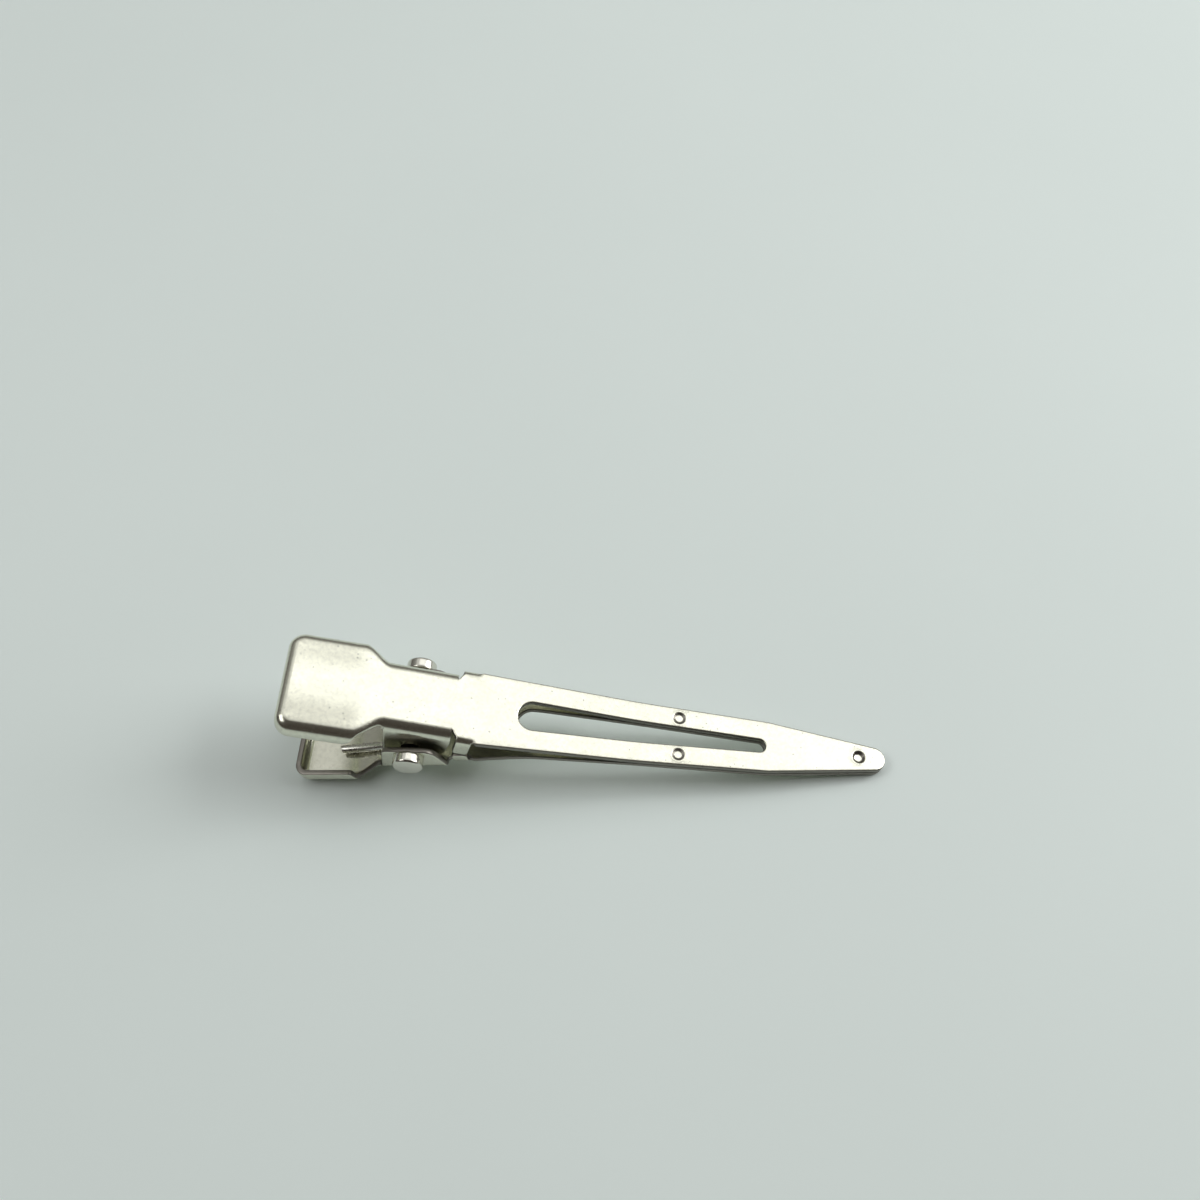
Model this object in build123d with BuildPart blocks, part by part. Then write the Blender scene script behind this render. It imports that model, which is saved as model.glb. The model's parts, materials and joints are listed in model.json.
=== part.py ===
"""Sectioning clip: two pressed steel halves, the rivet that they turn on and a torsion spring.

The clip lies closed on a table (Z = 0) with its tip towards +X. Both halves are drawn in the
clip's own frame: x along the closed jaws from the pin, h away from the mating plane. That frame
leans by LEAN, because the clip rests on its tip and on the end of its lower lever.
"""
from build123d import *
from math import cos, radians, sin, tan
import os

os.makedirs("parts", exist_ok=True)

# ---- sheet and stance, mm ----
SHEET = 0.55            # sheet thickness
BEND = 1.05             # outside radius of the folds
LEAN = 7.193            # slope of the closed jaws down to the tip, degrees
FOOT_X = -17.242        # foot of the pin on the mating plane, from the middle of the clip
FOOT_Z = 6.5256         # the same point above the table
PIN_H = -1.54           # pin axis on the upper half's side of the mating plane

# ---- jaws ----
JAW_START = 5.9
JAW_HALF = 3.87
SHOULDER_X = 35.2
SHOULDER_HALF = 2.72
TIP_X = 46.0
TIP_R = 1.28
SLOT_X = (11.5, 34.3)
SLOT_R = (1.48, 0.68)
DIMPLE_X = 26.15
DIMPLE_Y = 1.97
DIMPLE_R = 0.65
TIP_DIMPLE_X = 44.55
TIP_DIMPLE_R = 0.68
DIMPLE_DEEP = 0.18

# ---- inner surface of each half, tip to lever end: (x, distance from the mating plane) ----
UPPER_LINE = [(48.0, 0.06), (22.0, 0.04), (6.6, 1.0), (-4.5, 2.35), (-14.0, 3.215)]
LOWER_LINE = [(48.0, 0.06), (22.0, 0.04), (11.3, 0.35), (-2.9, 4.79), (-4.9, 5.75), (-13.0, 8.25)]
UPPER_RADII = [60.0, 25.0, 12.0]
LOWER_RADII = [60.0, 14.0, 4.0, 4.0]

# ---- ears, side tabs and pivot ----
UPPER_EAR_HALF = 3.6
LOWER_EAR_HALF = 4.6
EAR_X = (-2.7, 3.8)
TAB_X = (4.3, JAW_START)
NOTCH_HALF = 3.1
UPPER_TAB_END = -0.95   # bottom edge of the upper half's side tabs
LOWER_TAB_END = 1.25    # top edge of the lower half's, a gap away
CORNER_R = 0.5
RIVET_R = 0.8
RIVET_HEAD_R = 1.5
RIVET_HEAD_H = 1.2
RIVET_HEAD_EDGE = 0.3
RUNNING_GAP = 0.05

# ---- lever pads ----
UPPER_PAD_X = (-12.72, -5.1)
LOWER_PAD_X = (-10.53, -4.72)
PAD_HALF = (5.27, 5.87)          # upper, lower
PAD_DEEP = (1.75, 1.9)
PAD_CORNER = (1.6, 1.3)
UPPER_NECK_HALF = (4.9, 3.3)     # half widths of the neck at the pad and at the ears
LOWER_NECK_HALF = (5.35, 4.0)

# ---- spring ----
WIRE_R = 0.425
BEND_BALL_R = 0.44       # fills the corner where an arm leaves the coil
COIL_R = 1.45
COIL_HALF = 2.36        # middle of the end turns, from the clip's mid-plane
FULL_TURNS = 5
LOWER_ARM = (21.4, 7.9)   # slope in degrees and length from the coil
UPPER_ARM = (17.5, 7.6)
SPLAY = 3.0               # each arm leans this many degrees away from the mid-plane

THROUGH = 40.0
lean = radians(LEAN)
ALONG = Vector(cos(lean), 0, -sin(lean))
NORMAL = Vector(sin(lean), 0, cos(lean))
FOOT = Vector(FOOT_X, 0, FOOT_Z)
PIN = FOOT + NORMAL * PIN_H


def side_plane(side):
    """Side view of one half (side = 1 upper, -1 lower): x along the jaws, y outwards."""
    return Plane(origin=FOOT, x_dir=ALONG, z_dir=Vector(0, -side, 0))


def plan_plane(side):
    """Mating plane, seen from outside this half."""
    return Plane(origin=FOOT, x_dir=ALONG, z_dir=NORMAL * side)


def slope_plane(side, line, index):
    """Plane on the straight stretch of the inner surface that starts at line[index]."""
    view = side_plane(side)
    front = view.from_local_coords(Vector(*line[index]))
    rear = view.from_local_coords(Vector(*line[index + 1]))
    direction = (front - rear).normalized()
    outward = view.z_dir.cross(direction)
    return Plane(origin=front, x_dir=direction, z_dir=outward)


def bowed_sheet(side, line, radii):
    """Sheet along the whole inner surface, at least as wide as the pads."""
    with BuildPart() as sheet:
        with BuildSketch(side_plane(side)):
            with BuildLine():
                FilletPolyline(*line, radius=radii)
                offset(amount=SHEET, side=Side.RIGHT, closed=True)
            make_face()
        extrude(amount=max(PAD_HALF), both=True)
    return sheet.part


def blank(side, ear_half, neck_half, pad_front):
    """Prism over the flat parts of the pressing: jaw, tab roofs, notch, ear roof and neck."""
    with BuildPart() as prism:
        with BuildSketch(plan_plane(side)):
            with BuildSketch(mode=Mode.PRIVATE) as jaw:
                with Locations((TIP_X, 0)):
                    Circle(TIP_R)
                with BuildLine():
                    Polyline(
                        (JAW_START, JAW_HALF), (SHOULDER_X, SHOULDER_HALF),
                        (SHOULDER_X, -SHOULDER_HALF), (JAW_START, -JAW_HALF), close=True,
                    )
                make_face()
                make_hull()
            add(jaw.sketch)
            for start, end, half in (
                (TAB_X[0], TAB_X[1], JAW_HALF - BEND),
                (EAR_X[1], TAB_X[0], NOTCH_HALF),
                (EAR_X[0], EAR_X[1], ear_half - BEND),
            ):
                with Locations(((start + end) / 2, 0)):
                    Rectangle(end - start, 2 * half)
            with BuildLine():
                Polyline(
                    (EAR_X[0], neck_half[1]), (pad_front, neck_half[0]),
                    (pad_front, -neck_half[0]), (EAR_X[0], -neck_half[1]), close=True,
                )
            make_face()
        extrude(amount=THROUGH, both=True)
    return prism.part


def folded_channel(plane, side, half, deep):
    """Long channel on a sloped plane: flat roof, two folds and two flat cheeks."""
    section = Plane(origin=plane.origin, x_dir=Vector(0, side, 0), z_dir=plane.x_dir)
    with BuildPart() as channel:
        with BuildSketch(section):
            for width, top, radius, mode in (
                (half, SHEET, BEND, Mode.ADD),
                (half - SHEET, 0, BEND - SHEET, Mode.SUBTRACT),
            ):
                with BuildSketch(mode=Mode.PRIVATE) as leg_box:
                    with Locations((0, top - deep)):
                        Rectangle(2 * width, 2 * deep)
                    fillet(leg_box.vertices().group_by(Axis.Y)[-1], radius)
                add(leg_box.sketch, mode=mode)
        extrude(amount=THROUGH / 2, both=True)
    return channel.part


def cheek_outline(side, points, radii):
    """Prism over a side-view outline, which trims a folded channel."""
    with BuildPart() as prism:
        with BuildSketch(side_plane(side)):
            with BuildLine():
                FilletPolyline(*points, radius=radii)
                Line(points[-1], points[0])
            make_face()
        extrude(amount=THROUGH, both=True)
    return prism.part


def lever_pad(side, line, pad_x, half, deep, corner):
    """Finger pad: rounded tray with flanges on three sides, open to the neck."""
    plane = slope_plane(side, line, len(line) - 2)
    view = side_plane(side)
    rear = plane.to_local_coords(view.from_local_coords(Vector(pad_x[0], line[-1][1]))).X
    with BuildPart() as tray:
        with BuildSketch(plane.offset(SHEET)):
            with BuildLine():
                outline = FilletPolyline(
                    (2, half), (rear, half), (rear, -half), (2, -half), radius=corner,
                )
                Line(outline @ 1, outline @ 0)
            make_face()
        extrude(amount=-deep)
        along, out = Axis(plane.origin, plane.x_dir), Axis(plane.origin, plane.z_dir)
        rim_edges = tray.faces().sort_by(out)[-1].edges().sort_by(along)[:-1]
        fillet(rim_edges, BEND)
        mouth = tray.faces().sort_by(out)[0]
        front = tray.faces().sort_by(along)[-1]
        offset(amount=-SHEET, openings=[mouth, front])
        with BuildSketch(view):
            with Locations((pad_x[1], 0)):
                Rectangle(THROUGH, THROUGH, align=(Align.MIN, Align.CENTER))
        extrude(amount=THROUGH, both=True, mode=Mode.SUBTRACT)
    return tray.part


def openings(side):
    """What the press tool takes out of a jaw: the long slot and the shallow dimples."""
    with BuildPart() as punch:
        with BuildSketch(plan_plane(side)):
            with Locations((SLOT_X[0], 0)):
                Circle(SLOT_R[0])
            with Locations((SLOT_X[1], 0)):
                Circle(SLOT_R[1])
            make_hull()
        extrude(amount=THROUGH, both=True)
        with BuildSketch(plan_plane(side).offset(SHEET - DIMPLE_DEEP)):
            with Locations((DIMPLE_X, DIMPLE_Y), (DIMPLE_X, -DIMPLE_Y)):
                Circle(DIMPLE_R)
            with Locations((TIP_DIMPLE_X, 0)):
                Circle(TIP_DIMPLE_R)
        extrude(amount=DIMPLE_DEEP * 2, taper=-12)
    return punch.part


def pin_hole(radius):
    """Bore through both ears."""
    with BuildPart() as bore:
        with BuildSketch(Plane(origin=PIN, x_dir=ALONG, z_dir=(0, 1, 0))):
            Circle(radius)
        extrude(amount=THROUGH, both=True)
    return bore.part


def in_view(angle, length):
    """Vector in the side view, its angle counted from the jaws' direction."""
    return ALONG * (length * cos(radians(angle))) + NORMAL * (length * sin(radians(angle)))


# ---- upper half ----
UPPER_EAR = [(EAR_X[0], 9), (EAR_X[0], -2.3), (-1.2, -3.3), (1.2, -3.2), (3.3, -1.9), (EAR_X[1], 9)]
UPPER_TAB = [(TAB_X[0], 9), (TAB_X[0], UPPER_TAB_END), (TAB_X[1], UPPER_TAB_END), (TAB_X[1], 9)]

with BuildPart() as upper_ears:
    add(folded_channel(slope_plane(1, UPPER_LINE, 2), 1, UPPER_EAR_HALF, 7))
    add(cheek_outline(1, UPPER_EAR, [CORNER_R, 1.0, 1.0, CORNER_R]), mode=Mode.INTERSECT)

with BuildPart() as upper_tabs:
    add(folded_channel(slope_plane(1, UPPER_LINE, 2), 1, JAW_HALF, 7))
    add(cheek_outline(1, UPPER_TAB, CORNER_R), mode=Mode.INTERSECT)

with BuildPart() as upper_half:
    add(bowed_sheet(1, UPPER_LINE, UPPER_RADII))
    add(blank(1, UPPER_EAR_HALF, UPPER_NECK_HALF, UPPER_PAD_X[1]), mode=Mode.INTERSECT)
    add(upper_ears.part)
    add(upper_tabs.part)
    add(lever_pad(1, UPPER_LINE, UPPER_PAD_X, PAD_HALF[0], PAD_DEEP[0], PAD_CORNER[0]))
    add(openings(1), mode=Mode.SUBTRACT)
    add(pin_hole(RIVET_R + RUNNING_GAP), mode=Mode.SUBTRACT)

# ---- lower half ----
LOWER_EAR = [(EAR_X[0], 12), (EAR_X[0], 1.0), (2.1, 0.0), (EAR_X[1], 2.4), (EAR_X[1], 12)]
LOWER_TAB = [(TAB_X[0], 9), (TAB_X[0], LOWER_TAB_END), (TAB_X[1], LOWER_TAB_END), (TAB_X[1], 9)]

with BuildPart() as lower_ears:
    add(folded_channel(slope_plane(-1, LOWER_LINE, 2), -1, LOWER_EAR_HALF, 9))
    add(cheek_outline(-1, LOWER_EAR, [0.6, 1.6, CORNER_R]), mode=Mode.INTERSECT)

with BuildPart() as lower_tabs:
    add(folded_channel(slope_plane(-1, LOWER_LINE, 2), -1, JAW_HALF, 9))
    add(cheek_outline(-1, LOWER_TAB, CORNER_R), mode=Mode.INTERSECT)

with BuildPart() as lower_half:
    add(bowed_sheet(-1, LOWER_LINE, LOWER_RADII))
    add(blank(-1, LOWER_EAR_HALF, LOWER_NECK_HALF, LOWER_PAD_X[1]), mode=Mode.INTERSECT)
    add(lower_ears.part)
    add(lower_tabs.part)
    add(lever_pad(-1, LOWER_LINE, LOWER_PAD_X, PAD_HALF[1], PAD_DEEP[1], PAD_CORNER[1]))
    add(openings(-1), mode=Mode.SUBTRACT)
    add(pin_hole(RIVET_R), mode=Mode.SUBTRACT)

# ---- rivet: shank and two round-edged button heads ----
with BuildPart() as pivot_rivet:
    with BuildSketch(Plane(origin=PIN, x_dir=(0, 1, 0), z_dir=Vector(0, 1, 0).cross(NORMAL))):
        with BuildLine():
            ear, end = LOWER_EAR_HALF, LOWER_EAR_HALF + RIVET_HEAD_H
            head = FilletPolyline(
                (end, 0), (end, RIVET_HEAD_R), (ear, RIVET_HEAD_R), radius=RIVET_HEAD_EDGE,
            )
            Polyline(head @ 1, (ear, RIVET_R), (0, RIVET_R), (0, 0), head @ 0)
        make_face()
    revolve(axis=Axis(PIN, (0, 1, 0)))
    mirror(about=Plane.XZ)

# ---- torsion spring: coil round the shank, one arm along each lever ----
lower_end = PIN + in_view(LOWER_ARM[0] - 90, COIL_R) - Vector(0, COIL_HALF, 0)
upper_end = PIN + in_view(90 - UPPER_ARM[0], COIL_R) + Vector(0, COIL_HALF, 0)
turns = FULL_TURNS + (180 - UPPER_ARM[0] - LOWER_ARM[0]) / 360

coil_plane = Plane(
    origin=PIN - Vector(0, COIL_HALF, 0), x_dir=in_view(LOWER_ARM[0] - 90, 1), z_dir=(0, 1, 0)
)
coil = Edge.make_helix(2 * COIL_HALF / turns, 2 * COIL_HALF, COIL_R, lefthand=True)
coil = coil.moved(coil_plane.location)

with BuildPart() as torsion_spring:
    with BuildSketch(Plane(origin=coil @ 0, z_dir=coil % 0)):
        Circle(WIRE_R)
    sweep(path=coil, is_frenet=True)
    for end, slope, length, hand in (
        (lower_end, 180 + LOWER_ARM[0], LOWER_ARM[1], -1),
        (upper_end, 180 - UPPER_ARM[0], UPPER_ARM[1], 1),
    ):
        direction = in_view(slope, 1) + Vector(0, hand * tan(radians(SPLAY)), 0)
        with BuildSketch(Plane(origin=end, z_dir=direction)):
            Circle(WIRE_R)
        extrude(amount=length)
        with Locations(end):
            Sphere(BEND_BALL_R)

PIECES = {
    "upper_half": upper_half,
    "lower_half": lower_half,
    "pivot_rivet": pivot_rivet,
    "torsion_spring": torsion_spring,
}
for name, piece in PIECES.items():
    piece.part.label = name
    export_step(piece.part, f"parts/{name}.step")
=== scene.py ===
"""Looks for the sectioning clip: two pressed halves, a rivet and a spring, on a pale table."""
import json
from math import acos, ceil, cos, hypot, pi, radians, sin, tan

import bmesh
import bpy
import numpy as np
from mathutils import Matrix, Vector
from mathutils.geometry import delaunay_2d_cdt


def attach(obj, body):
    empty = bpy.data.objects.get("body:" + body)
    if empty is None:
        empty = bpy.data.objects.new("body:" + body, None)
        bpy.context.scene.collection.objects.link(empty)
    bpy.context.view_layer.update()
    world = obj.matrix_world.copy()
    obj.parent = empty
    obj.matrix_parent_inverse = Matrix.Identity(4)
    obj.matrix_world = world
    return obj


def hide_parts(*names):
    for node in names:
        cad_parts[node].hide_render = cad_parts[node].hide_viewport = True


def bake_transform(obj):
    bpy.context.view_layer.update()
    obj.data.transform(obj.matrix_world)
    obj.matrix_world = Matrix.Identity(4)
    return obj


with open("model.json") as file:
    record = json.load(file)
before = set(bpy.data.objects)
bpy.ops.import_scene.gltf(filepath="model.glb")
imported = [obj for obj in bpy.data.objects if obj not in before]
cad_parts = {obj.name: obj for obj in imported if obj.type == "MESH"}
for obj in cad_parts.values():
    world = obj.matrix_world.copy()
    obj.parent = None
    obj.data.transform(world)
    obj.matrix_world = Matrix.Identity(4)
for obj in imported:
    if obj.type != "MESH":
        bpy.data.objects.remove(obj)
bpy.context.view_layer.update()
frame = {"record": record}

MM = 0.001

# ---- the clip's own frame, mm: x along the closed jaws, h away from the mating plane ----
LEAN = radians(7.193)
ALONG = Vector((cos(LEAN), 0, -sin(LEAN)))
NORMAL = Vector((sin(LEAN), 0, cos(LEAN)))
ACROSS = Vector((0, 1, 0))
PIN_H = -1.54           # the rivet's middle line
PIN = Vector(frame["record"]["behaviour"]["joints"][0]["pos_m"])
FOOT = PIN - NORMAL * PIN_H * MM

# ---- the sheet ----
SHEET = 0.55            # gauge
BEND = 1.05             # outside radius of the side folds
TAB_BEND = 0.66         # the same at the side tabs
# a sheared edge, rounded over: (in from the edge, below the outer face), from outer to inner face
EDGE_ROWS = [
    (0.16, 0.0), (0.10, 0.004), (0.055, 0.022), (0.02, 0.055), (0.0, 0.11),
    (0.0, 0.30), (0.0, 0.49), (0.018, 0.532), (0.06, 0.549), (0.16, 0.55),
]
PLATED_TO = 0.03        # the edge keeps the plate's colour down to this depth and is dark below it: partly bare sheared steel, partly a painted shade line along the edge
BEAD_IN = 0.05          # low bead along the folds, raised by the press: how far inside the fold line,
BEAD_WIDTH = 0.42       # how wide,
BEAD_RISE = 0.028       # how high,
BEAD_FADE = 1.5         # and over what length it fades out before the jaw

# ---- sizes the two halves share ----

TIP_X = 46.0            # centre of the round tip
TIP_R = 1.28
TIP_ARC = 1.53          # angle of the tip's rounding on each side
TIP_POINTS = 14
JAW_HALF = 3.87         # half width of the jaw at its rear end
SHOULDER = (35.2, 2.72)  # the taper steepens here, as (x, half width)
SHOULDER_R = 2.0
SLOT_X = (11.5, 34.3)   # centres of the slot's round ends
SLOT_R = (1.48, 0.68)
# dimples, as (x, y, radius, depth)
DIMPLES = [(26.15, 1.97, 0.66, 0.13), (26.15, -1.97, 0.66, 0.13), (44.55, 0.0, 0.68, 0.26)]
DIMPLE_FLOOR = 0.58     # share of a dimple's radius that is its flat floor
DIMPLE_SHADE_RING = (0.57, 0.97)  # shares of its radius between which its ring is painted dark as shade
LIP_AT = 1.12           # raised lip round a dimple, in shares of its radius,
LIP_WIDTH = 0.12
LIP_RISE = 0.02         # and in mm
EAR_X = (-2.7, 3.8)
TAB_X = (4.3, 5.8)
TAB_HALF = 3.97
TAB_RADII = (0.35, 0.35, 0.12)
CHEEK_X = 0.6           # ears and tabs hang square to the sheet at this place
NOTCH_FLOOR = (0.2, 0.15)  # the notch between them ends this far outside the fold line
JAW_X = 6.05            # the jaw's edge is straight from here
ROOT_STEP = 0.02        # the tab stands out from it by this much
ROOT_R = 0.06
FADE_X = (5.75, 6.9)    # the side folds run out into the flat jaw here
FADE_OUT = 1.5          # and the fold line moves out by this much
NECK_UP = 0.35          # the outlines of ear and neck meet this far outside the neck
NECK_RADII = (0.3, 0.9, 0.0, 0.5)
NECK_LEAD = 0.15        # the neck meets the pad this far ahead of the pad's front
FLANGE_BULGE = 0.35     # share of the flange's slope that is reached half way up
FLANGE_TOP = 1.2        # length of the flange's edge that belongs to its front corner
PAD_LEAD = 0.4          # the fold line starts to narrow this far behind the pad's front
PAD_FADE = 1.2          # the pad's crown fades out over this length on each side of its front

# ---- mesh ----
PROFILE_STEP = 0.25     # spacing along the bent line of the sheet
PROFILE_ARC = 0.5       # and its arcs' step in degrees
GRID = 0.42             # spacing on flat sheet
ROW = 0.16              # spacing of the rows across the lever
PAD_ROW = 0.2           # and across the pad
SEAM = 1.0              # the pad's rows end this far behind its front
FINE = 0.13             # spacing across a fold and along edges
CLEARANCE = 0.09        # grid points keep this far from an edge
LEVELS = np.concatenate([np.arange(0, 1.65, FINE), np.arange(1.65, 6.5, 0.3)])  # from the fold line out
CORNER_POINTS = 16      # round a corner of the pad
SLOT_POINTS = (40, 24)  # round the slot's ends
SLOT_STEP = 0.2
BORE_POINTS = 40
DIMPLE_POINTS = 28
DIMPLE_RINGS = np.linspace(0.15, 1.25, 9)  # in shares of its radius

# ---- the halves; line is the sheet's inner face seen from the side, as (x, h) from tip to rear,
# ---- ear its corners from the front, neck_half the half width at the pad and at the ear,
# ---- flange_run how far the pad's flange slopes, crown how far the pad's sides drop ----
UPPER = dict(
    side=1,
    line=[(48.0, 0.06), (22.0, 0.04), (6.6, 1.0), (-4.5, 2.35), (-14.0, 3.215)],
    radii=[60.0, 25.0, 12.0],
    ear_half=3.6, neck_half=(4.9, 3.3), tab_end=-0.95, bore=0.85,
    ear=[(EAR_X[1], 0.4), (3.3, -1.9), (1.2, -3.2), (-1.2, -3.3), (EAR_X[0], -2.3)],
    ear_radii=[0.5, 0.5, 1.0, 1.0, 0.5],
    pad_x=(-12.72, -5.1), pad_half=5.27, pad_deep=1.75, pad_corner=1.6, flange_run=0.85,
    crown=0.18,
)
LOWER = dict(
    side=-1,
    line=[(48.0, 0.06), (22.0, 0.04), (11.3, 0.35), (-2.9, 4.79), (-4.9, 5.75), (-13.0, 8.25)],
    radii=[60.0, 14.0, 4.0, 4.0],
    ear_half=4.6, neck_half=(5.35, 4.0), tab_end=1.25, bore=0.8,
    ear=[(EAR_X[1], 2.4), (2.1, 0.0), (EAR_X[0], 1.0)],
    ear_radii=[0.5, 1.6, 0.6],
    pad_x=(-10.53, -4.72), pad_half=5.87, pad_deep=1.9, pad_corner=1.3, flange_run=0.35,
    crown=0.05,
)

# ---- rivet ----
HEAD_R = 1.5
HEAD_H = 1.2
HEAD_EDGE = 0.26        # radius round the end face
HEAD_DOME = 0.06        # rise of the end face to its middle
HEAD_SUNK = 0.02        # the heads reach this far into the ears
SHANK_R = 0.8
RIVET_TURN = 72
RIVET_WOBBLE = 0.004    # how much it is out of round

# ---- spring ----
WIRE_R = 0.425
WIRE_TURN = 28
CUT_R = 0.9             # the wire narrows to this share at its cut ends
CUT_SLANT = 0.35
CUT_ROWS = 3            # rings over which the cut's slant fades out
COIL_R = 1.45
COIL_HALF = 2.36
COIL_POINTS = 320
FULL_TURNS = 5
LOWER_ARM = (21.4, 7.9)  # slope in degrees and length
UPPER_ARM = (17.5, 7.6)
ARM_POINTS = 30
SPLAY = tan(radians(3.0))


def place(side, x, y, h):
    """Point of the clip's own frame (mm; h away from the mating plane on that side), in metres."""
    return FOOT + (ALONG * x + ACROSS * y + NORMAL * (side * h)) * MM


# ------------------------------------------------------------------ outlines

def rounded(points, radii, step=9.0):
    """Polyline with its inner corners rounded; step is the largest angle between points, in degrees."""
    points = [np.array(p, float) for p in points]
    if not hasattr(radii, "__len__"):
        radii = [radii] * (len(points) - 2)
    out = [points[0]]
    for before, corner, after, radius in zip(points, points[1:], points[2:], radii):
        u = (before - corner) / np.linalg.norm(before - corner)
        v = (after - corner) / np.linalg.norm(after - corner)
        opening = acos(max(-1.0, min(1.0, float(u @ v))))
        turn = pi - opening
        if radius <= 0 or turn < 1e-4:
            out.append(corner)
            continue
        run = radius * tan(turn / 2)
        middle = (u + v) / np.linalg.norm(u + v)
        centre = corner + middle * hypot(run, radius)
        start, end = corner + u * run - centre, corner + v * run - centre
        count = max(3, ceil(turn / radians(step)))
        for i in range(count + 1):
            t = i / count
            out.append(centre + (start * sin((1 - t) * turn) + end * sin(t * turn)) / sin(turn))
    out.append(points[-1])
    return np.array(out)


def evenly(points, spacing):
    """The same open polyline with no piece longer than spacing."""
    out = [points[0]]
    for a, b in zip(points[:-1], points[1:]):
        count = max(1, ceil(np.linalg.norm(b - a) / spacing))
        out += [a + (b - a) * (i + 1) / count for i in range(count)]
    return np.array(out)


def inside(points, loop):
    """Which points lie inside a closed loop."""
    x, y = points[:, 0:1], points[:, 1:2]
    x0, y0 = loop[:, 0], loop[:, 1]
    x1, y1 = np.roll(x0, -1), np.roll(y0, -1)
    across = (y0 > y) != (y1 > y)
    with np.errstate(divide="ignore", invalid="ignore"):
        cut = (x1 - x0) * (y - y0) / (y1 - y0) + x0
    return (np.sum(across & (x < cut), axis=1) % 2).astype(bool)


def in_sheet(points, loops):
    """Which points lie inside the first loop and outside the others."""
    keep = inside(points, loops[0])
    for hole in loops[1:]:
        keep &= ~inside(points, hole)
    return keep


def clear_of(points, loop, gap, batch=2000):
    """Which points are at least gap away from every corner of a densely drawn loop."""
    keep = np.ones(len(points), bool)
    for start in range(0, len(points), batch):
        part = points[start:start + batch]
        apart = np.hypot(part[:, 0:1] - loop[:, 0], part[:, 1:2] - loop[:, 1])
        keep[start:start + batch] = apart.min(axis=1) > gap
    return keep


def whole_turn(count):
    """Angles that divide a full turn evenly."""
    return np.arange(count) * 2 * pi / count


def arc(a, w, radius, angles):
    """Points on a circle round (a, w)."""
    return [(a + radius * cos(t), w + radius * sin(t)) for t in angles]


def across(a, half):
    """Row of grid points across flat sheet, half to each side."""
    return [(a, w) for w in np.linspace(-half, half, 2 * ceil(half / GRID) + 1)]


def ease(t):
    """Smooth step from 0 to 1."""
    t = np.clip(t, 0, 1)
    return t * t * (3 - 2 * t)


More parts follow.
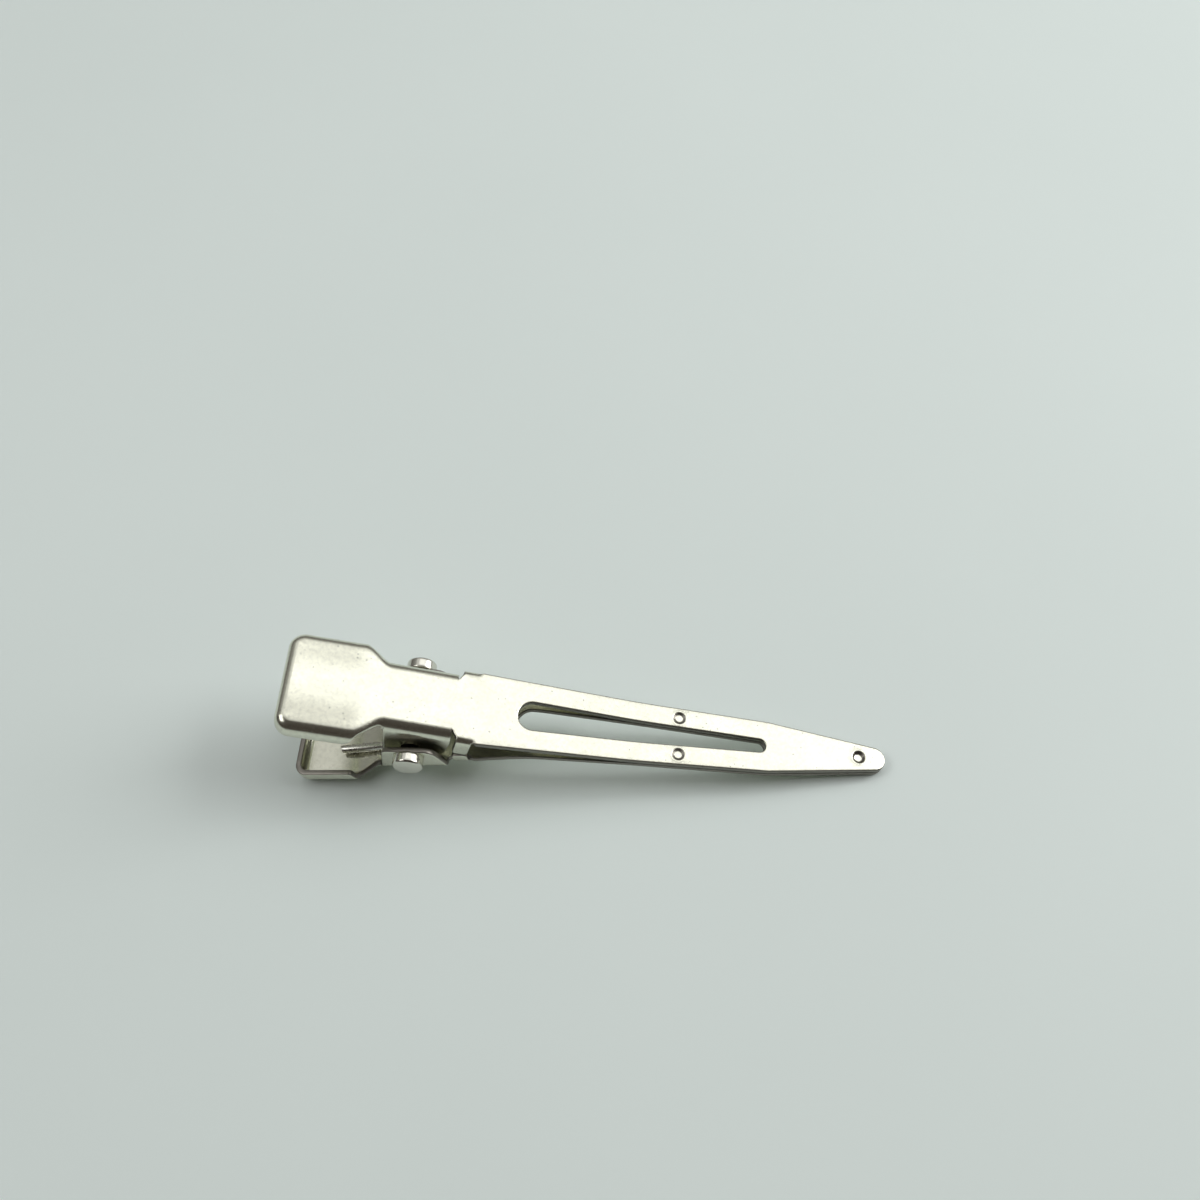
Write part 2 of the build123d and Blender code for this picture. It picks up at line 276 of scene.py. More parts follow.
class Half:
    """One pressed half. Its flat pattern has a (along the sheet, growing to the tip) and w (across)."""

    def __init__(self, **sizes):
        self.__dict__.update(sizes)
        inner = evenly(rounded(self.line, self.radii, PROFILE_ARC), PROFILE_STEP)
        steps = np.hypot(*np.diff(inner, axis=0).T)
        self.a = (self.line[0][0] - np.concatenate([[0], np.cumsum(steps)]))[::-1]
        self.inner = inner[::-1]
        tangent = np.gradient(self.inner, self.a, axis=0)
        self.tangent = tangent / np.linalg.norm(tangent, axis=1)[:, None]
        self.front_a = self.at(self.pad_x[1])
        self.notch = (self.at(EAR_X[1]), self.at(TAB_X[0]))
        self.ear_flat = self.ear_half - BEND
        self.pad_flat = self.pad_half - BEND
        self.pad_edge_w = self.pad_flat + BEND * (pi / 2 - 1) + self.pad_deep
        rear_a = self.a[0] + (self.pad_x[0] - self.line[-1][0]) * self.tangent[0][0]
        # the pad's rear corners are rounded about these places
        self.corner = self.pad_corner - BEND
        self.core_a = rear_a + self.pad_corner
        self.core_w = self.pad_flat - self.corner

    def at(self, x):
        """Pattern length a of a place x on the inner surface."""
        return float(np.interp(x, self.inner[:, 0], self.a))

    def past_notch(self, a):
        """0 at the ears, growing to 1 at the tabs."""
        return ease((a - self.notch[0]) / (self.notch[1] - self.notch[0]))

    def bend(self, a):
        """Outside radius of the side folds, tighter at the tabs."""
        return BEND + (TAB_BEND - BEND) * self.past_notch(a)

    def fold_line(self, a):
        """Half width of the flat roof, where the side folds start."""
        start, ear = self.front_a - PAD_LEAD, self.at(EAR_X[0])
        fade = (self.at(FADE_X[0]), self.at(FADE_X[1]))
        width = self.pad_flat + (self.ear_flat - self.pad_flat) * ease((a - start) / (ear - start))
        width = width + (TAB_HALF - TAB_BEND - self.ear_flat) * self.past_notch(a)
        return width + FADE_OUT * ease((a - fade[0]) / (fade[1] - fade[0]))

    def on_cheek(self, x, h):
        """Pattern point of a place (x, h) on the outside of an ear or tab."""
        a0 = self.at(CHEEK_X)
        base = np.array([np.interp(a0, self.a, self.inner[:, i]) for i in (0, 1)])
        tangent = np.array([np.interp(a0, self.a, self.tangent[:, i]) for i in (0, 1)])
        outward = np.array([-tangent[1], tangent[0]])
        offset = np.array([x, h]) - base
        a = a0 + offset @ tangent
        drop = SHEET - offset @ outward
        radius = float(self.bend(a))
        return np.array([a, float(self.fold_line(a)) + radius * (pi / 2 - 1) + drop])

    def notch_corner(self, end):
        """Pattern point where the notch's floor meets the ear (end 0) or the tab (end 1)."""
        return (self.notch[end], float(self.fold_line(self.notch[end])) + NOTCH_FLOOR[end])

    def jaw_edge(self):
        """From the middle of the tip along the jaw to the tab."""
        tip = arc(self.at(TIP_X), 0.0, TIP_R, np.linspace(0, TIP_ARC, TIP_POINTS))
        edge = [
            (self.at(SHOULDER[0]), SHOULDER[1]),
            (self.at(JAW_X), JAW_HALF),
            (self.at(TAB_X[1]) + ROOT_STEP, JAW_HALF + ROOT_STEP),
        ]
        return rounded(tip + edge, [0.0] * (TIP_POINTS - 1) + [SHOULDER_R, ROOT_R])

    def tab_edge(self, start):
        """From the end of the jaw's edge round the tab and into the notch."""
        deep = self.on_cheek(sum(TAB_X) / 2, self.tab_end)[1]
        points = [start, (self.at(TAB_X[1]), deep), (self.notch[1], deep)]
        points += [self.notch_corner(1), self.notch_corner(0)]
        return rounded(points, TAB_RADII)[1:-1]

    def ear_edge(self):
        """Round the ear, from the notch to the neck."""
        cheek = [self.notch_corner(0)]
        cheek += [self.on_cheek(*corner) for corner in self.ear]
        cheek.append((self.at(EAR_X[0]), self.neck_half[1] + NECK_UP))
        return rounded(cheek, self.ear_radii)

    def neck_edge(self):
        """From the ear along the neck and up the front of the pad's flange."""
        ear = self.at(EAR_X[0])
        flange = self.front_a - self.flange_run
        points = [
            (ear, self.neck_half[1] + NECK_UP),
            (ear, self.neck_half[1]),
            (self.front_a + NECK_LEAD, self.neck_half[0]),
            (self.front_a - self.flange_run * FLANGE_BULGE, (self.neck_half[0] + self.pad_edge_w) / 2),
            (flange, self.pad_edge_w),
            (flange - FLANGE_TOP, self.pad_edge_w),
        ]
        return rounded(points, NECK_RADII)[1:]

    def pad_edge(self):
        """Round the pad's corner to the middle of its rear edge."""
        reach = self.pad_edge_w - self.core_w
        turn = [
            (self.core_a - reach * sin(t), self.core_w + reach * cos(t))
            for t in np.linspace(0, pi / 2, CORNER_POINTS)
        ]
        return turn + [(turn[-1][0], 0.0)]

    def outline(self):
        """Edge of the flat pattern, all the way round from the middle of the tip."""
        jaw = self.jaw_edge()
        pieces = [jaw, self.tab_edge(jaw[-1]), self.ear_edge(), self.neck_edge(), self.pad_edge()]
        side = np.array([np.array(p, float) for piece in pieces for p in piece])
        side = side[np.concatenate([[True], np.hypot(*np.diff(side, axis=0).T) > 1e-4])]
        side = evenly(side, FINE)
        return np.concatenate([side, (side * (1, -1))[-2:0:-1]])

    def holes(self):
        """Slot and the two bores for the rivet."""
        x0, x1 = self.at(SLOT_X[0]), self.at(SLOT_X[1])
        lean = acos((SLOT_R[0] - SLOT_R[1]) / (x1 - x0))
        rear = arc(x0, 0.0, SLOT_R[0], np.linspace(lean, 2 * pi - lean, SLOT_POINTS[0]))
        front = arc(x1, 0.0, SLOT_R[1], np.linspace(-lean, lean, SLOT_POINTS[1]))
        slot = evenly(np.array(rear + front + rear[:1]), SLOT_STEP)[:-1]
        bore = self.on_cheek(0.0, self.side * PIN_H)
        ring = np.array(arc(0.0, 0.0, self.bore, whole_turn(BORE_POINTS)))
        return [slot, ring + bore, ring + bore * (1, -1)]

    def lever_grid(self):
        """Rows across the sheet from the pad to the tip, with points down the cheeks."""
        start, fade, tip = self.front_a - SEAM, self.at(FADE_X[1]), self.at(TIP_X + TIP_R)
        points = []
        for a in np.concatenate([np.arange(start, fade, ROW), np.arange(fade, tip, GRID)]):
            flat = float(self.fold_line(a))
            points += across(a, flat)
            if a < fade:
                points += [(a, s * (flat + v)) for v in LEVELS[1:] for s in (-1, 1)]
        return points

    def pad_grid(self):
        """Rows across the pad, then arcs round its rear corners."""
        points = []
        for a in np.arange(self.core_a, self.front_a - SEAM, PAD_ROW):
            points += across(a, self.core_w)
            points += [(a, s * (self.core_w + self.corner + v)) for v in LEVELS for s in (-1, 1)]
        for v in LEVELS:
            reach = self.corner + v
            for t in np.linspace(0, pi / 2, 6 + int(reach * 5)):
                a, w = self.core_a - reach * sin(t), self.core_w + reach * cos(t)
                points += [(a, -w), (a, w)]
            points += [(self.core_a - reach, w) for w in np.linspace(-self.core_w, self.core_w, 24)[1:-1]]
        return points

    def grid(self):
        """Points that carry the sheet between its edges, with rows along the folds."""
        points = self.lever_grid() + self.pad_grid()
        for x, y, radius, _ in DIMPLES:
            for r in DIMPLE_RINGS * radius:
                points += arc(self.at(x), y, r, whole_turn(DIMPLE_POINTS))
        return np.array(points)

    def dimples(self, a, w):
        """For every dimple its depth, and how many of its radii each place is from its middle."""
        return [(deep, np.hypot(a - self.at(x), w - y) / radius) for x, y, radius, deep in DIMPLES]

    def dent(self, a, w):
        """Depth of the pressed dimples on the outside."""
        depth = np.zeros_like(a)
        for deep, r in self.dimples(a, w):
            depth += deep * (1 - ease((r - DIMPLE_FLOOR) / (1 - DIMPLE_FLOOR)))
            depth -= LIP_RISE * np.exp(-((r - LIP_AT) / LIP_WIDTH) ** 2)
        return depth

    def dimple_shade_ring(self, a, w):
        """Which places lie on the steep ring of a dimple, the ring that is painted dark as shade."""
        shaded = np.zeros(len(a), bool)
        for _, r in self.dimples(a, w):
            shaded |= (r > DIMPLE_SHADE_RING[0]) & (r < DIMPLE_SHADE_RING[1])
        return shaded

    def folded(self, a, w, depth):
        """Pattern points bent round the folds: along, across, and drop below the roof's outer face."""
        rear = a < self.core_a
        flat = self.fold_line(a)
        near_a = np.where(rear, self.core_a, a)
        near_w = np.where(rear, np.clip(w, -self.core_w, self.core_w), np.clip(w, -flat, flat))
        off_a, off_w = a - near_a, w - near_w
        reach = np.hypot(off_a, off_w)
        spare = np.where(rear, self.corner, 0.0)
        v = np.maximum(reach - spare, 0)
        safe = np.maximum(reach, 1e-9)
        radius = self.bend(a)
        angle = np.minimum(v / radius, pi / 2)
        out = np.minimum(reach, spare) + (radius - depth) * np.sin(angle)
        drop = radius - (radius - depth) * np.cos(angle) + np.maximum(v - radius * pi / 2, 0)
        return near_a + off_a / safe * out, near_w + off_w / safe * out, drop

    def formed(self, pattern, depth):
        """Places of the pattern's points on the pressed part, depth below its outer surface."""
        a, w = pattern[:, 0], pattern[:, 1]
        new_a, new_w, drop = self.folded(a, w, depth)
        on_pad = ease((self.front_a + PAD_FADE - a) / (2 * PAD_FADE))
        drop = drop + self.crown * on_pad * np.minimum(np.abs(new_w) / self.pad_flat, 1) ** 2
        before_jaw = 1 - ease((a - self.at(JAW_X) + BEAD_FADE) / BEAD_FADE)
        from_bead = np.abs(new_w) - self.fold_line(a) + BEAD_IN
        drop = drop - BEAD_RISE * before_jaw * np.exp(-((from_bead / BEAD_WIDTH) ** 2))
        on_line = [np.interp(new_a, self.a, self.inner[:, i]) for i in (0, 1)]
        tangent = [np.interp(new_a, self.a, self.tangent[:, i]) for i in (0, 1)]
        behind = np.minimum(new_a - self.a[0], 0)
        lift = SHEET - drop
        x = on_line[0] + tangent[0] * behind - tangent[1] * lift
        h = on_line[1] + tangent[1] * behind + tangent[0] * lift
        return [place(self.side, *p) for p in zip(x, new_w, h)]


# ------------------------------------------------------------------ meshes

def new_mesh(name, vertices, faces, materials, shear_and_shade=None):
    """Smooth closed mesh; shear_and_shade says which faces take the second material, the dark edge colour
    that is partly painted shade.
    """
    mesh = bpy.data.meshes.new(name)
    mesh.from_pydata([tuple(v) for v in vertices], [], faces)
    for material in materials:
        mesh.materials.append(material)
    if shear_and_shade is not None:
        mesh.polygons.foreach_set("material_index", shear_and_shade)
    bm = bmesh.new()
    bm.from_mesh(mesh)
    bmesh.ops.recalc_face_normals(bm, faces=bm.faces)
    bm.to_mesh(mesh)
    bm.free()
    mesh.shade_smooth()
    piece = bpy.data.objects.new(name, mesh)
    bpy.context.scene.collection.objects.link(piece)
    return piece


def set_in(loop, distance):
    """Closed loop moved towards the left of its direction."""
    run = np.roll(loop, -1, axis=0) - np.roll(loop, 1, axis=0)
    run /= np.linalg.norm(run, axis=1)[:, None]
    return loop + distance * np.stack([-run[:, 1], run[:, 0]], axis=1)


def turning(loop):
    """Signed area: positive for an anticlockwise loop."""
    x, y = loop.T
    return float(np.sum(x * np.roll(y, -1) - np.roll(x, -1) * y)) / 2


def band(first, second, count):
    """Quads between two rings of count vertices, from the first vertex of each."""
    return [
        (first + i, first + (i + 1) % count, second + (i + 1) % count, second + i) for i in range(count)
    ]


def flat_mesh(half, rims):
    """The pattern filled with triangles: its points, its faces and the points along each rim."""
    grid = half.grid()
    keep = in_sheet(grid, rims)
    for rim in rims:
        keep &= clear_of(grid, rim, CLEARANCE)
    points = np.concatenate(rims + [grid[keep]])
    spans, edges, count = [], [], 0
    for rim in rims:
        spans.append(range(count, count + len(rim)))
        edges += [(count + i, count + (i + 1) % len(rim)) for i in range(len(rim))]
        count += len(rim)
    flat, _, faces, origins, *_ = delaunay_2d_cdt([Vector(p) for p in points], edges, [], 0, 1e-6)
    flat = np.array([tuple(v) for v in flat])
    home = {old: new for new, olds in enumerate(origins) for old in olds}
    faces = np.array([f for f in faces if len(f) == 3])
    faces = faces[in_sheet(flat[faces].mean(axis=1), rims)]
    return flat, faces, [[home[i] for i in span] for span in spans]


def pressed_half(name, half, materials):
    """Sheet part: its flat pattern is meshed, folded up, given its thickness and rounded edges."""
    loops = [half.outline()] + half.holes()
    loops = [loop if (turning(loop) > 0) == (k == 0) else loop[::-1] for k, loop in enumerate(loops)]
    flat, faces, rims = flat_mesh(half, [set_in(loop, EDGE_ROWS[0][0]) for loop in loops])
    count = len(flat)
    vertices = half.formed(flat, half.dent(flat[:, 0], flat[:, 1]))
    vertices += half.formed(flat, np.full(count, SHEET))
    polygons = [tuple(int(i) for i in f) for f in faces]
    polygons += [tuple(int(i) + count for i in f[::-1]) for f in faces]
    # the dimples' steep rings take the dark second material: a painted shade ring
    shade_ring_faces = half.dimple_shade_ring(*flat[faces].mean(axis=1).T)
    shear_and_shade = [int(shaded) for shaded in shade_ring_faces] + [0] * len(faces)
    for loop, rim in zip(loops, rims):
        size = len(loop)
        rows = [rim]
        for gap, depth in EDGE_ROWS[1:-1]:
            rows.append([len(vertices) + i for i in range(size)])
            vertices += half.formed(set_in(loop, gap), np.full(size, depth))
        rows.append([i + count for i in rim])
        for (_, depth), upper, lower in zip(EDGE_ROWS[1:], rows, rows[1:]):
            polygons += [
                (upper[i], lower[i], lower[(i + 1) % size], upper[(i + 1) % size]) for i in range(size)
            ]
            # cut edge below the plated depth: dark, partly bare sheared steel and partly painted shade
            shear_and_shade += [int(depth > PLATED_TO)] * size
    return new_mesh(name, vertices, polygons, materials, shear_and_shade)


def rivet_profile(face):
    """Section of one end of the rivet, as (y, radius): half the shank, then the head outside face."""
    inner, rim = face - HEAD_SUNK, HEAD_R - HEAD_EDGE
    shoulder = face + HEAD_H - HEAD_EDGE - HEAD_DOME
    profile = [(0.0, SHANK_R), (inner, SHANK_R), (inner, HEAD_R - 0.10), (face + 0.03, HEAD_R - 0.03)]
    profile += [(y, HEAD_R) for y in np.linspace(face + 0.10, shoulder, 5)]
    for t in np.linspace(0.15, pi / 2, 9):
        profile.append((shoulder + HEAD_EDGE * sin(t), rim + HEAD_EDGE * cos(t)))
    for r in np.linspace(rim, 0.12, 10)[1:]:
        profile.append((face + HEAD_H - HEAD_DOME * (r / rim) ** 2, r))
    return profile


def rivet(material):
    """Shank with a round-edged button head at each end, slightly out of round from the striking."""
    profile = rivet_profile(LOWER["ear_half"])
    vertices, faces = [], []
    for hand in (-1, 1):
        first = len(vertices)
        for y, r in profile:
            for t in whole_turn(RIVET_TURN):
                wide = r * (1 - RIVET_WOBBLE * (1 + sin(2 * t + hand)) * (r > SHANK_R))
                vertices.append(place(1, wide * cos(t), hand * y, PIN_H + wide * sin(t)))
        last = len(vertices) - RIVET_TURN
        for row in range(first, last, RIVET_TURN):
            faces += band(row, row + RIVET_TURN, RIVET_TURN)
        faces.append(tuple(range(last, last + RIVET_TURN)))
    # the two ends share one ring in the middle of the shank
    second = len(profile) * RIVET_TURN
    ring = range(second, second + RIVET_TURN)
    faces = [tuple(i - second if i in ring else i for i in corners) for corners in faces]
    return trimmed("rivet_pin", vertices, faces, material)


def trimmed(name, vertices, faces, material):
    """Mesh without the vertices that no face uses."""
    used = sorted({i for face in faces for i in face})
    place_of = {old: new for new, old in enumerate(used)}
    faces = [tuple(place_of[i] for i in face) for face in faces]
    return new_mesh(name, [vertices[i] for i in used], faces, [material])


def spring_route():
    """Middle line of the wire, in the clip's frame: near arm, coil, far arm."""
    start = radians(LOWER_ARM[0] - 90)
    sweep = 2 * pi * FULL_TURNS + radians(180 - UPPER_ARM[0] - LOWER_ARM[0])
    coil = []
    for t in np.linspace(0, 1, COIL_POINTS):
        angle = start + sweep * t
        coil.append((COIL_R * cos(angle), COIL_HALF * (2 * t - 1), PIN_H + COIL_R * sin(angle)))

    def arm(end, slope, length, hand):
        run = np.array([cos(radians(slope)), hand * SPLAY, sin(radians(slope))])
        run /= np.linalg.norm(run)
        return [np.array(end) + run * d for d in np.linspace(0.25, length, ARM_POINTS)]

    near = arm(coil[0], 180 + LOWER_ARM[0], LOWER_ARM[1], -1)
    far = arm(coil[-1], 180 - UPPER_ARM[0], UPPER_ARM[1], 1)
    return np.array(near[::-1] + coil + far)


def spring(material):
    """Round wire swept along its route, with slightly slanted cut ends."""
    route = spring_route()
    tangents = np.gradient(route, axis=0)
    tangents /= np.linalg.norm(tangents, axis=1)[:, None]
    side = np.cross(tangents[0], (0, 1, 0))
    sides = []
    for t in tangents:
        side = side - t * (side @ t)
        side = side / np.linalg.norm(side)
        sides.append(side)
    vertices, faces = [], []
    last = len(route) - 1
    for k, (p, t, n) in enumerate(zip(route, tangents, sides)):
        b = np.cross(t, n)
        edge = min(k, last - k)
        radius = WIRE_R * (CUT_R if edge == 0 else 1.0)
        for angle in whole_turn(WIRE_TURN):
            slant = CUT_SLANT * radius * sin(angle) * max(0, 1 - edge / CUT_ROWS)
            q = p + radius * (cos(angle) * n + sin(angle) * b) + t * slant
            vertices.append(place(1, *q))
    for k in range(last):
        faces += band(k * WIRE_TURN, (k + 1) * WIRE_TURN, WIRE_TURN)
    faces.append(tuple(range(WIRE_TURN)))
    faces.append(tuple(last * WIRE_TURN + i for i in range(WIRE_TURN)))
    piece = new_mesh("spring_wire_form", vertices, faces, [material])
    piece.data.set_sharp_from_angle(angle=radians(40))
    return piece


# ------------------------------------------------------------------ materials

def nodes_of(name):
    """New material, its node tree and its shader."""
    material = bpy.data.materials.new(name)
    material.use_nodes = True
    tree = material.node_tree
    return material, tree, tree.nodes["Principled BSDF"]


def texture(tree, kind, scale, stretch=(1, 1, 1), **settings):
    """Procedural texture in the object's own space, in features per metre."""
    coordinates = tree.nodes.new("ShaderNodeTexCoord")
    mapping = tree.nodes.new("ShaderNodeMapping")
    mapping.inputs["Scale"].default_value = stretch
    node = tree.nodes.new(kind)
    node.inputs["Scale"].default_value = scale
    for key, value in settings.items():
        node.inputs[key].default_value = value
    tree.links.new(coordinates.outputs["Object"], mapping.inputs["Vector"])
    tree.links.new(mapping.outputs["Vector"], node.inputs["Vector"])
    return node.outputs["Distance" if kind == "ShaderNodeTexVoronoi" else 0]


def ramp(tree, value, stops):
    """Colour or grey that follows value; stops are (value, colour)."""
    node = tree.nodes.new("ShaderNodeValToRGB")
    while len(node.color_ramp.elements) < len(stops):
        node.color_ramp.elements.new(0.5)
    for element, (position, colour) in zip(node.color_ramp.elements, stops):
        element.position = position
        element.color = (*colour, 1) if hasattr(colour, "__len__") else (colour, colour, colour, 1)
    tree.links.new(value, node.inputs["Fac"])
    return node.outputs["Color"]


def mix(tree, how, amount, first, second):
    """Two colours combined with a blend mode."""
    node = tree.nodes.new("ShaderNodeMix")
    node.data_type = "RGBA"
    node.blend_type = how
    node.inputs["Factor"].default_value = amount
    tree.links.new(first, node.inputs["A"])
    tree.links.new(second, node.inputs["B"])
    return node.outputs["Result"]


def bump(tree, height, strength, distance, below=None):
    """Normal tilted by a height, on top of the bump below it; distance in metres."""
    node = tree.nodes.new("ShaderNodeBump")
    node.inputs["Strength"].default_value = strength
    node.inputs["Distance"].default_value = distance
    tree.links.new(height, node.inputs["Height"])
    if below:
        tree.links.new(below, node.inputs["Normal"])
    return node.outputs["Normal"]


def nickel_plate(name, tint, roughness, speck=1.0):
    """Bright nickel over pressed steel: cloudy gloss, fine pits, rolling marks and faint scratches."""
    material, tree, shader = nodes_of(name)
    shader.inputs["Metallic"].default_value = 1.0
    clouds = texture(tree, "ShaderNodeTexNoise", 260, Detail=6.0, Roughness=0.65)
    grains = texture(tree, "ShaderNodeTexNoise", 2600, Detail=3.0, Roughness=0.6)
    pits = texture(tree, "ShaderNodeTexVoronoi", 1500, Randomness=1.0)
    patches = texture(tree, "ShaderNodeTexNoise", 420, Detail=4.0, Roughness=0.7)
    rolled = texture(tree, "ShaderNodeTexNoise", 900, (0.12, 1, 1), Detail=3.0)
    scratches = texture(tree, "ShaderNodeTexNoise", 1500, (1, 0.05, 1), Detail=2.0)

    body = ramp(tree, clouds, [
        (0.30, tuple(c * 0.96 for c in tint)), (0.55, tint), (0.75, tuple(min(1, c * 1.01) for c in tint)),
    ])
    fine = ramp(tree, grains, [(0.32, 0.86), (0.58, 1.0)])
    body = mix(tree, "MULTIPLY", 0.8 * speck, body, fine)
    spots = ramp(tree, pits, [(0.06, 0.35), (0.15, 1.0)])
    where = ramp(tree, patches, [(0.50, 1.0), (0.60, 0.0)])
    spotted = mix(tree, "LIGHTEN", 1.0, spots, where)
    body = mix(tree, "MULTIPLY", 0.85 * speck, body, spotted)
    tree.links.new(body, shader.inputs["Base Color"])

    gloss = ramp(tree, clouds, [(0.3, roughness * 1.12), (0.7, roughness * 0.92)])
    streaks = ramp(tree, rolled, [(0.35, 0.80), (0.65, 1.0)])
    gloss = mix(tree, "MULTIPLY", 0.5, gloss, streaks)
    tree.links.new(gloss, shader.inputs["Roughness"])

    normal = bump(tree, clouds, 0.06, 0.00004)
    normal = bump(tree, rolled, 0.08, 0.00002, normal)
    normal = bump(tree, grains, 0.10, 0.00001, normal)
    normal = bump(tree, ramp(tree, scratches, [(0.28, 0.0), (0.34, 1.0)]), 0.08, 0.00001, normal)
    normal = bump(tree, spotted, 0.25 * speck, 0.00001, normal)
    tree.links.new(normal, shader.inputs["Normal"])
    return material


def drawn_wire(name, tint):
    """Plated hard-drawn wire: die lines along it and small knocks."""
    material, tree, shader = nodes_of(name)
    shader.inputs["Metallic"].default_value = 1.0
    grains = texture(tree, "ShaderNodeTexNoise", 1900, Detail=4.0)
    clouds = texture(tree, "ShaderNodeTexNoise", 500, Detail=5.0)
    knocks = texture(tree, "ShaderNodeTexVoronoi", 900)
    body = ramp(tree, clouds, [(0.3, tuple(c * 0.82 for c in tint)), (0.7, tint)])
    dirt = ramp(tree, knocks, [(0.06, 0.55), (0.16, 1.0)])
    tree.links.new(mix(tree, "MULTIPLY", 0.25, body, dirt), shader.inputs["Base Color"])
    tree.links.new(ramp(tree, grains, [(0.3, 0.34), (0.7, 0.2)]), shader.inputs["Roughness"])
    normal = bump(tree, grains, 0.10, 0.000006)
    normal = bump(tree, dirt, 0.10, 0.000006, normal)
    tree.links.new(normal, shader.inputs["Normal"])
    return material


def table_top():
    """Matt, very slightly cloudy, faintly green white."""
    material, tree, shader = nodes_of("table_top")
    shader.inputs["Roughness"].default_value = 0.62
    clouds = texture(tree, "ShaderNodeTexNoise", 14, Detail=6.0)
    body = ramp(tree, clouds, [(0.3, (0.815, 0.905, 0.875)), (0.7, (0.840, 0.930, 0.900))])
    tree.links.new(body, shader.inputs["Base Color"])
    grains = texture(tree, "ShaderNodeTexNoise", 900, Detail=4.0)
    tree.links.new(bump(tree, grains, 0.05, 0.0001), shader.inputs["Normal"])
    return material


# ------------------------------------------------------------------ stage

CAMERA_AIM = Vector((-0.102, 17.514, 0)) * MM
CAMERA_DISTANCE = 141.618 * MM
CAMERA_AZIMUTH = radians(2.194)
CAMERA_ELEVATION = radians(58.897)
CAMERA_ROLL = radians(1.565)
LENS_MM = 39.0


def camera():
    """The photo's camera, as fitted to the clip's upper half."""
    data = bpy.data.cameras.new("camera")
    data.lens = LENS_MM
    data.sensor_width = 36.0
    data.clip_start = 0.005
    data.clip_end = 20
    view = bpy.data.objects.new("camera", data)
    bpy.context.scene.collection.objects.link(view)
    a, e = CAMERA_AZIMUTH, CAMERA_ELEVATION
    back = Vector((sin(a) * cos(e), -cos(a) * cos(e), sin(e)))
    right = Vector((cos(a), sin(a), 0))
    up = back.cross(right)
    right, up = (right * cos(CAMERA_ROLL) + up * sin(CAMERA_ROLL),
                 up * cos(CAMERA_ROLL) - right * sin(CAMERA_ROLL))
    turn = Matrix((right, up, back)).transposed()
    view.matrix_world = Matrix.Translation(CAMERA_AIM + back * CAMERA_DISTANCE) @ turn.to_4x4()
    bpy.context.scene.camera = view


def softbox(name, middle, aim, size, radiance):
    """Rectangular diffuser, as bright everywhere as radiance says."""
    data = bpy.data.lights.new(name, "AREA")
    data.shape = "RECTANGLE"
    data.size, data.size_y = size
    data.energy = radiance * pi * size[0] * size[1]
    lamp = bpy.data.objects.new(name, data)
    bpy.context.scene.collection.objects.link(lamp)
    lamp.location = middle
    lamp.rotation_mode = "QUATERNION"
    lamp.rotation_quaternion = (Vector(middle) - Vector(aim)).to_track_quat("Z", "Y")


# name, middle, aim, size and radiance
SOFTBOXES = [
    ("overhead", (0.08, 0.27, 0.42), (0.08, 0.27, 0.0), (0.85, 0.52), 0.49),
    ("core", (0.13, 0.20, 0.40), (0.13, 0.20, 0.0), (0.50, 0.10), 1.05),
    ("left", (-0.38, -0.06, 0.44), (0.0, 0.0, 0.0), (0.30, 0.26), 2.6),
    ("right", (0.50, 0.18, 0.34), (0.0, 0.0, 0.0), (0.34, 0.40), 4.3),
]
# the room around them, as (height of the direction, colour)
FRONT_ROOM = [
    (0.0, (0.36, 0.38, 0.36)), (0.05, (0.10, 0.09, 0.08)),
    (0.15, (0.055, 0.046, 0.040)), (0.9, (0.06, 0.052, 0.046)),
]
BACK_ROOM = [
    (0.0, (0.12, 0.11, 0.10)), (0.25, (0.17, 0.16, 0.15)),
    (0.55, (0.30, 0.30, 0.29)), (0.9, (0.32, 0.32, 0.31)),
]
TABLE_HALF = 1.6


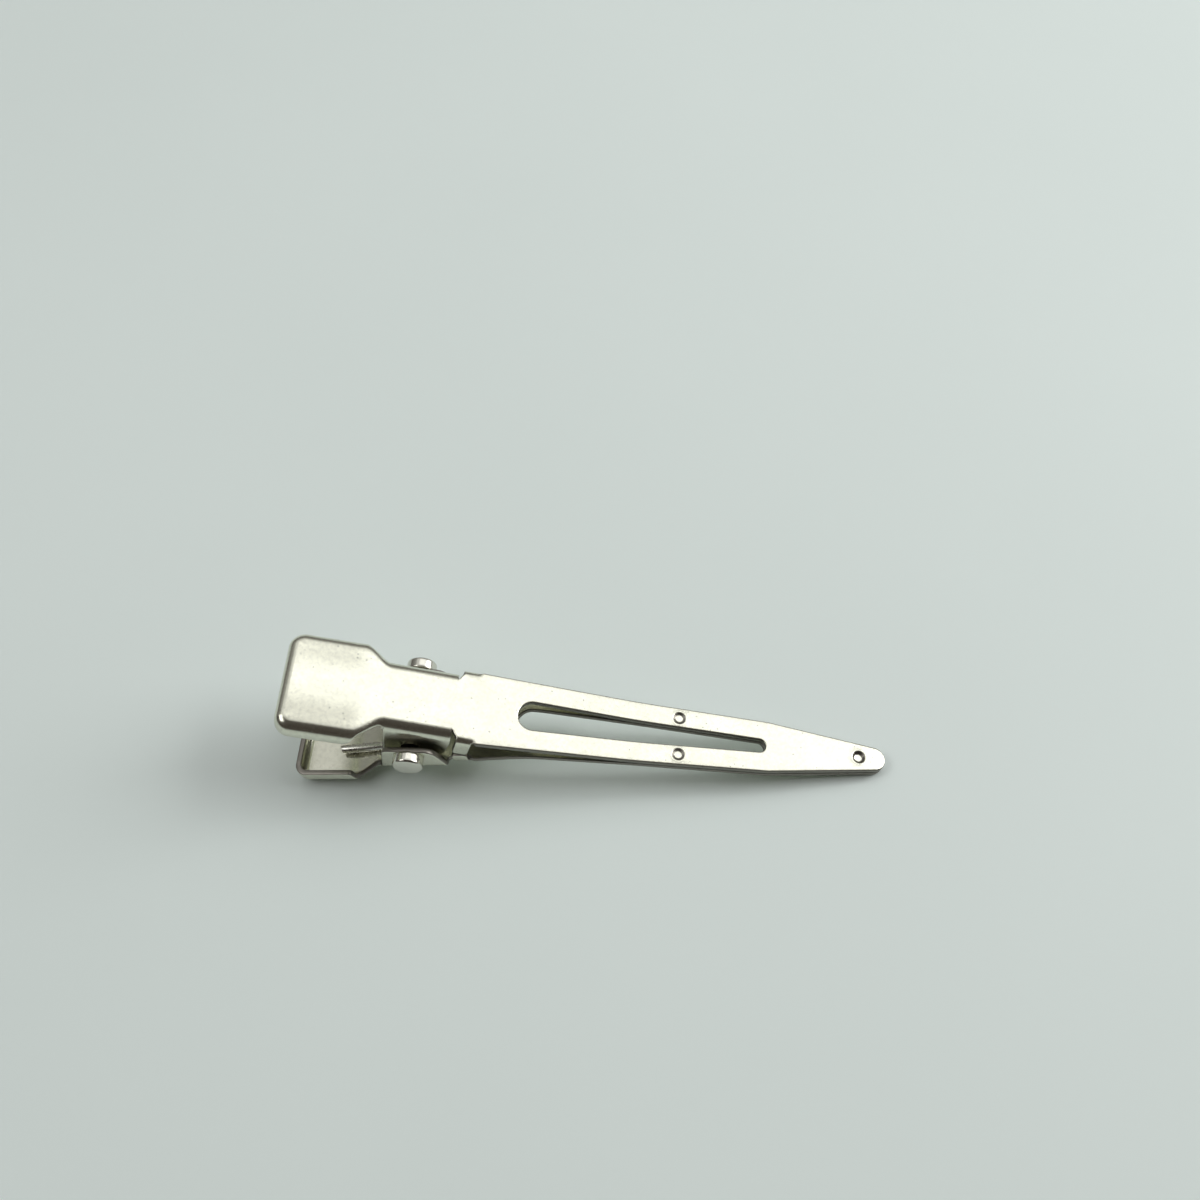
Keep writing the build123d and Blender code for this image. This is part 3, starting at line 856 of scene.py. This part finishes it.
def room():
    """World that is dim in front and lighter at the back."""
    world = bpy.data.worlds.new("studio")
    bpy.context.scene.world = world
    world.use_nodes = True
    tree = world.node_tree
    direction = tree.nodes.new("ShaderNodeTexCoord")
    parts = tree.nodes.new("ShaderNodeSeparateXYZ")
    tree.links.new(direction.outputs["Generated"], parts.inputs["Vector"])
    front = ramp(tree, parts.outputs["Z"], FRONT_ROOM)
    back = ramp(tree, parts.outputs["Z"], BACK_ROOM)
    where = ramp(tree, parts.outputs["Y"], [(0.05, 0.0), (0.40, 1.0)])
    sky = tree.nodes.new("ShaderNodeMix")
    sky.data_type = "RGBA"
    tree.links.new(where, sky.inputs["Factor"])
    tree.links.new(front, sky.inputs["A"])
    tree.links.new(back, sky.inputs["B"])
    tree.links.new(sky.outputs["Result"], tree.nodes["Background"].inputs["Color"])


def studio():
    """Diffuser overhead with a brighter core, one on each side, a dim room and a pale table."""
    for box in SOFTBOXES:
        softbox(*box)
    room()
    bpy.context.scene.view_settings.view_transform = "Standard"
    side = TABLE_HALF
    corners = [(-side, -side, 0), (side, -side, 0), (side, side, 0), (-side, side, 0)]
    mesh = bpy.data.meshes.new("table")
    mesh.from_pydata(corners, [], [(0, 1, 2, 3)])
    mesh.materials.append(table_top())
    floor = bpy.data.objects.new("table", mesh)
    bpy.context.scene.collection.objects.link(floor)


# ------------------------------------------------------------------ the clip

def clip():
    """Builds the four pieces, hides the CAD node each one replaces and ties each to its body where it has
    one.
    """
    plate = nickel_plate("nickel_plate", (0.78, 0.78, 0.66), 0.25)
    # dark colour of the cut edges and dimple rings: partly bare sheared steel, partly painted shade
    edge_and_shade = nickel_plate("sheared_edge_and_painted_shade", (0.27, 0.255, 0.225), 0.40)
    bright = nickel_plate("nickel_rivet", (0.66, 0.65, 0.58), 0.22, speck=0.5)
    wire = drawn_wire("plated_wire", (0.74, 0.74, 0.67))
    upper = pressed_half("upper_pressing", Half(**UPPER), [plate, edge_and_shade])
    lower = pressed_half("lower_pressing", Half(**LOWER), [plate, edge_and_shade])
    pieces = [
        (upper, "upper_half", "pressed_steel", "upper_body"),
        (lower, "lower_half", "pressed_steel", "lower_body"),
        (rivet(bright), "pivot_rivet", "rivet_steel", "lower_body"),
        (spring(wire), "torsion_spring", "spring_wire", None),
    ]
    for piece, node, slot, body in pieces:
        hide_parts(node)
        if body:
            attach(piece, body)
        else:
            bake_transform(piece)


clip()
camera()
studio()
